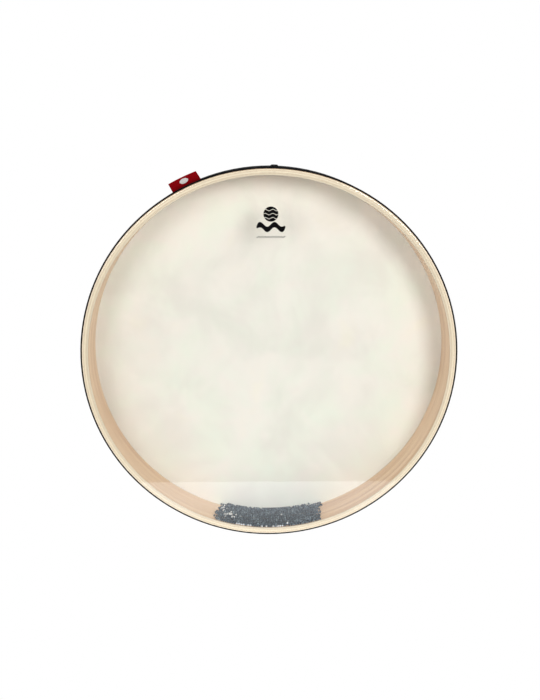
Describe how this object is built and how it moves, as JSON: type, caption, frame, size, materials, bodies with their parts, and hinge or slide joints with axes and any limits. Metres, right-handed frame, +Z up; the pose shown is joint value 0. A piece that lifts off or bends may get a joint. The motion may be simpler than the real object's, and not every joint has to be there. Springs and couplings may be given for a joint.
{
  "type": "ocean drum",
  "caption": "Shallow round frame drum with a clear front head, a skin-like rear head, a wrapped plywood shell, a ribbon tag on the rim and loose steel shot inside.",
  "frame": {"origin": "centre of the flat rear face, on the drum's axis", "axes": "+Y along the drum's axis, out of the rear face, so the clear head faces -Y; +Z up with the drum held upright and the shot lying at the bottom"},
  "size_m": [0.4, 0.0532, 0.4011],
  "materials": {
    "shell_wood": "satin",
    "clear_film": "gloss",
    "skin_head": "matte",
    "black_wrap": "matte",
    "red_ribbon": "matte",
    "steel_shot": "satin"
  },
  "bodies": {
    "drum": {"shell_ply_1": "shell_wood", "shell_ply_2": "shell_wood", "shell_ply_3": "shell_wood", "shell_ply_4": "shell_wood", "shell_ply_5": "shell_wood", "front_head": "clear_film", "rear_head": "skin_head", "wrap": "black_wrap", "label": "red_ribbon"},
    "shot_centre": {"shot_wall_centre": "steel_shot"},
    "shot_left": {"shot_wall_left": "steel_shot"},
    "shot_far_left": {"shot_wall_far_left": "steel_shot"},
    "shot_right": {"shot_wall_right": "steel_shot"},
    "shot_far_right": {"shot_wall_far_right": "steel_shot"},
    "shot_near": {"shot_top_near": "steel_shot"},
    "shot_middle": {"shot_top_middle": "steel_shot"},
    "shot_far": {"shot_top_far": "steel_shot"}
  },
  "joints": [
    {"name": "shot_round_rim", "type": "hinge", "parent": "drum", "child": "shot_centre", "pos_m": [0, -0.02425, 0], "axis": [0, 1, 0], "continuous": true},
    {"name": "shot_run_left", "type": "hinge", "parent": "shot_centre", "child": "shot_left", "pos_m": [0, -0.02425, 0], "axis": [0, 1, 0], "range_deg": [0, 18]},
    {"name": "shot_run_far_left", "type": "hinge", "parent": "shot_centre", "child": "shot_far_left", "pos_m": [0, -0.02425, 0], "axis": [0, 1, 0], "range_deg": [0, 36]},
    {"name": "shot_run_right", "type": "hinge", "parent": "shot_centre", "child": "shot_right", "pos_m": [0, -0.02425, 0], "axis": [0, 1, 0], "range_deg": [-18, 0]},
    {"name": "shot_run_far_right", "type": "hinge", "parent": "shot_centre", "child": "shot_far_right", "pos_m": [0, -0.02425, 0], "axis": [0, 1, 0], "range_deg": [-36, 0]},
    {"name": "shot_over_head_far", "type": "slide", "parent": "shot_centre", "child": "shot_far", "axis": [0, 0, 1], "range_m": [0, 0.36]},
    {"name": "shot_over_head_middle", "type": "slide", "parent": "shot_centre", "child": "shot_middle", "axis": [0, 0, 1], "range_m": [0, 0.234]},
    {"name": "shot_over_head_near", "type": "slide", "parent": "shot_centre", "child": "shot_near", "axis": [0, 0, 1], "range_m": [0, 0.108]}
  ],
  "couplings": [
    {"joint": "shot_run_far_left", "follows": "shot_run_left", "ratio": 2},
    {"joint": "shot_run_right", "follows": "shot_run_left", "ratio": -1},
    {"joint": "shot_run_far_right", "follows": "shot_run_left", "ratio": -2},
    {"joint": "shot_over_head_middle", "follows": "shot_over_head_far", "ratio": 0.65},
    {"joint": "shot_over_head_near", "follows": "shot_over_head_far", "ratio": 0.3}
  ]
}
